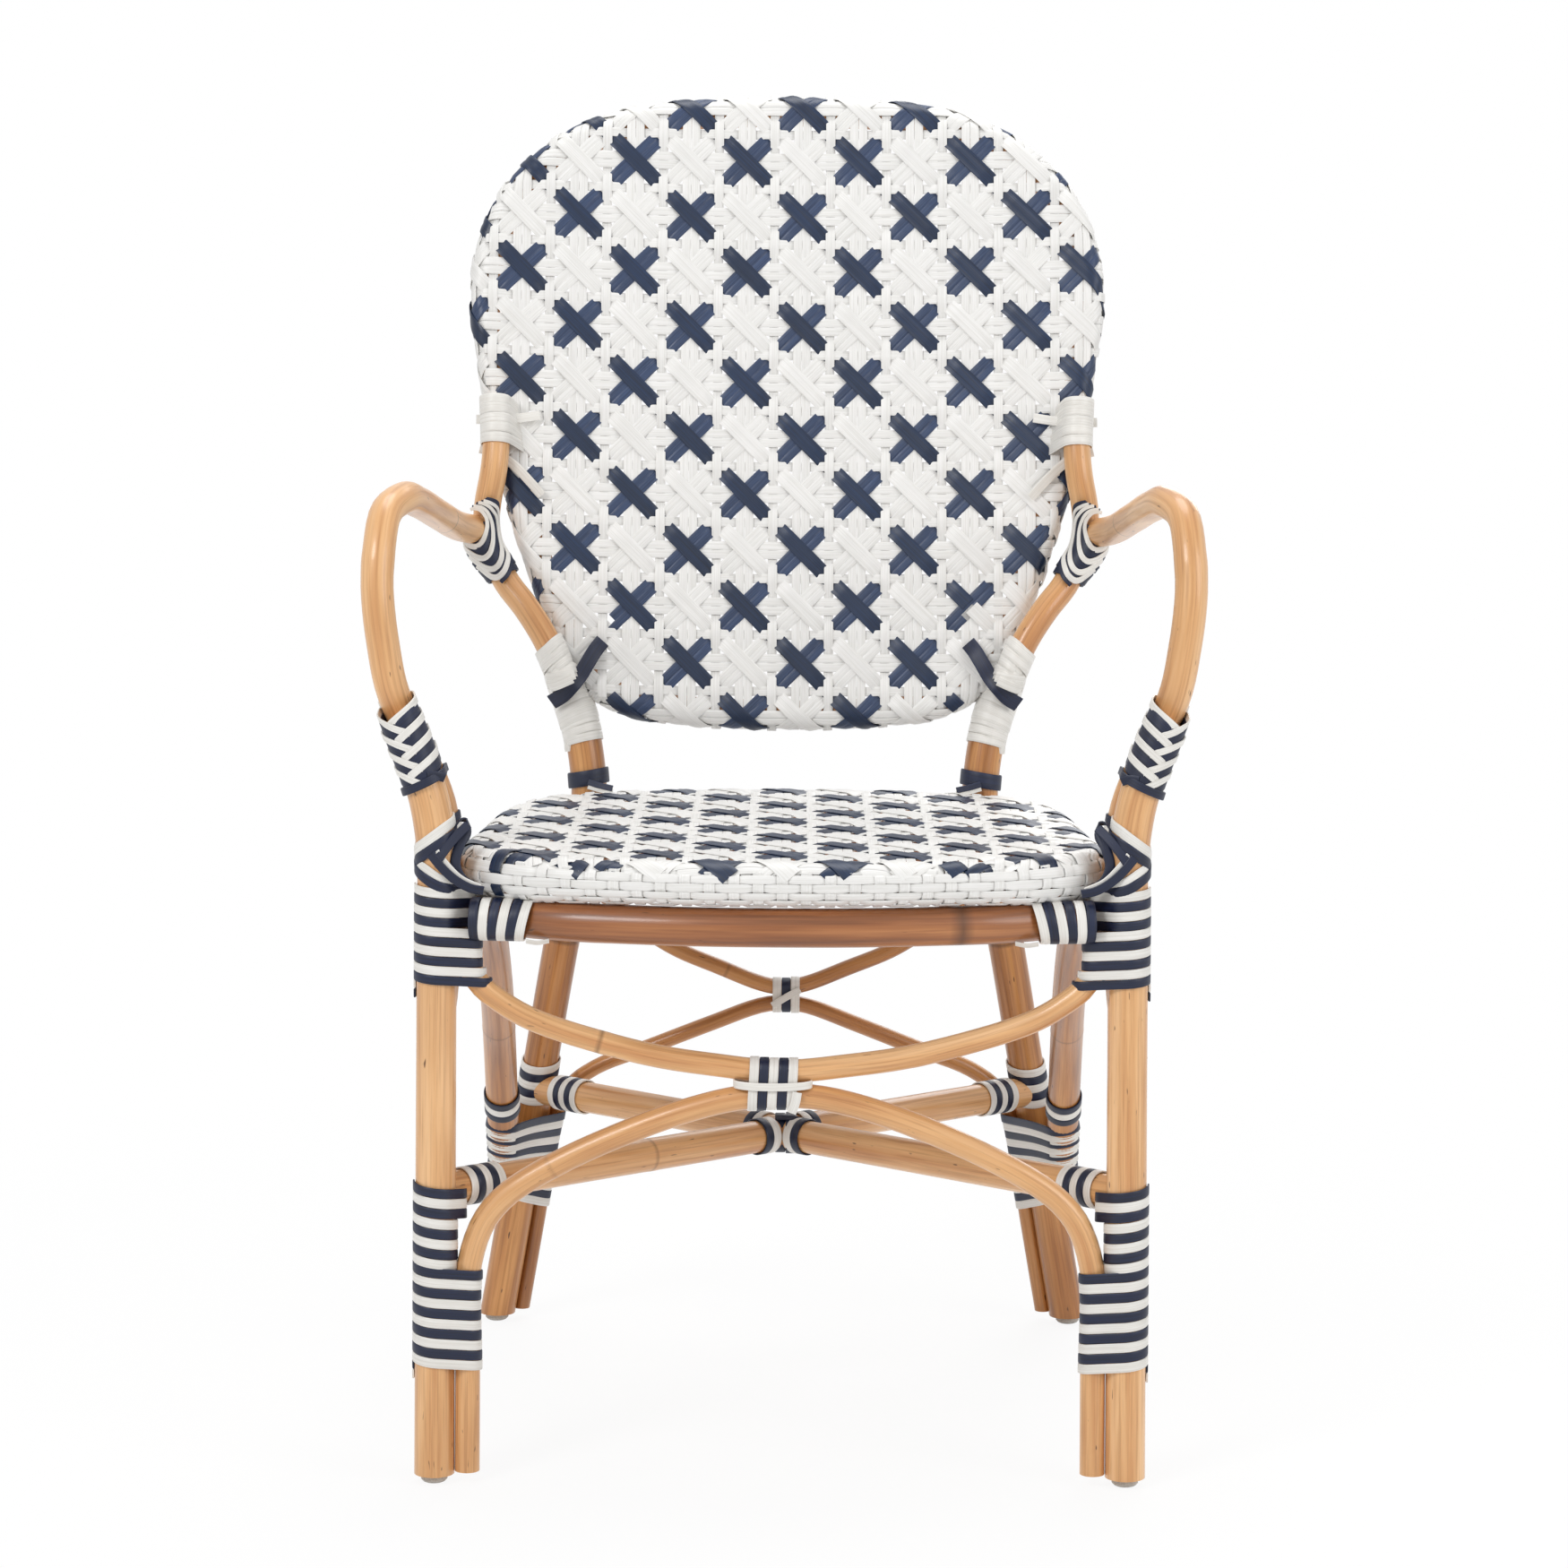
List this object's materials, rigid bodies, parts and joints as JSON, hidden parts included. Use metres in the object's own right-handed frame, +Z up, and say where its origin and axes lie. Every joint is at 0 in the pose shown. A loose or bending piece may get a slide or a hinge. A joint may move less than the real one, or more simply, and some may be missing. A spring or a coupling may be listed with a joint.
{
  "type": "rattan bistro armchair",
  "caption": "Rattan bistro armchair with bent arms, a woven rounded back, a woven seat on a bent rail, crossed stretchers and wound joints.",
  "frame": {"origin": "middle of the chair's own box, on the floor under the glides", "axes": "+Z up, the sitter faces -Y, +X to the right as seen from the front"},
  "size_m": [0.5804, 0.5664, 0.9838],
  "materials": {
    "rattan": "peeled rattan under satin lacquer",
    "dark_rattan": "darker peeled rattan under satin lacquer",
    "white_strand": "white woven flat strands",
    "navy_strand": "navy woven flat strands",
    "glide": "pale grey moulded plastic"
  },
  "bodies": {
    "root": {"front_leg_left": "rattan", "front_leg_right": "rattan", "rear_leg_left": "dark_rattan", "rear_leg_right": "dark_rattan", "outer_post_left": "rattan", "outer_post_right": "rattan", "arm_left": "rattan", "arm_right": "rattan", "back_hoop": "rattan", "back_weave": "white_strand", "seat_ring": "dark_rattan", "seat_weave": "white_strand", "seat_rail": "dark_rattan", "front_upper_brace": "rattan", "front_lower_brace": "rattan", "rear_upper_brace": "dark_rattan", "rear_lower_brace": "dark_rattan", "side_brace_left": "rattan", "side_brace_right": "rattan", "stretcher_lower_lap": "rattan", "stretcher_upper_lap": "rattan", "front_glide_left": "glide", "front_glide_right": "glide", "rear_glide_left": "glide", "rear_glide_right": "glide", "lower_binding_navy_left": "navy_strand", "lower_binding_navy_right": "navy_strand", "lower_binding_white_left": "white_strand", "lower_binding_white_right": "white_strand", "upper_binding_navy_left": "navy_strand", "upper_binding_navy_right": "navy_strand", "upper_binding_white_left": "white_strand", "upper_binding_white_right": "white_strand", "arm_wrap_left": "white_strand", "arm_wrap_right": "white_strand", "arm_joint_wrap_left": "white_strand", "arm_joint_wrap_right": "white_strand", "shoulder_wrap_left": "white_strand", "shoulder_wrap_right": "white_strand", "upper_post_wrap_left": "white_strand", "upper_post_wrap_right": "white_strand", "post_collar_left": "navy_strand", "post_collar_right": "navy_strand", "rear_binding_left": "navy_strand", "rear_binding_right": "navy_strand", "stretcher_collar_front_left": "navy_strand", "stretcher_collar_front_right": "navy_strand", "stretcher_collar_rear_left": "navy_strand", "stretcher_collar_rear_right": "navy_strand", "front_tie": "white_strand", "rear_tie": "white_strand", "cross_binding": "navy_strand", "rail_binding_left": "navy_strand", "rail_binding_right": "navy_strand", "corner_tie_left": "navy_strand", "corner_tie_right": "navy_strand", "side_tie_left": "navy_strand", "side_tie_right": "navy_strand"}
  },
  "joints": []
}
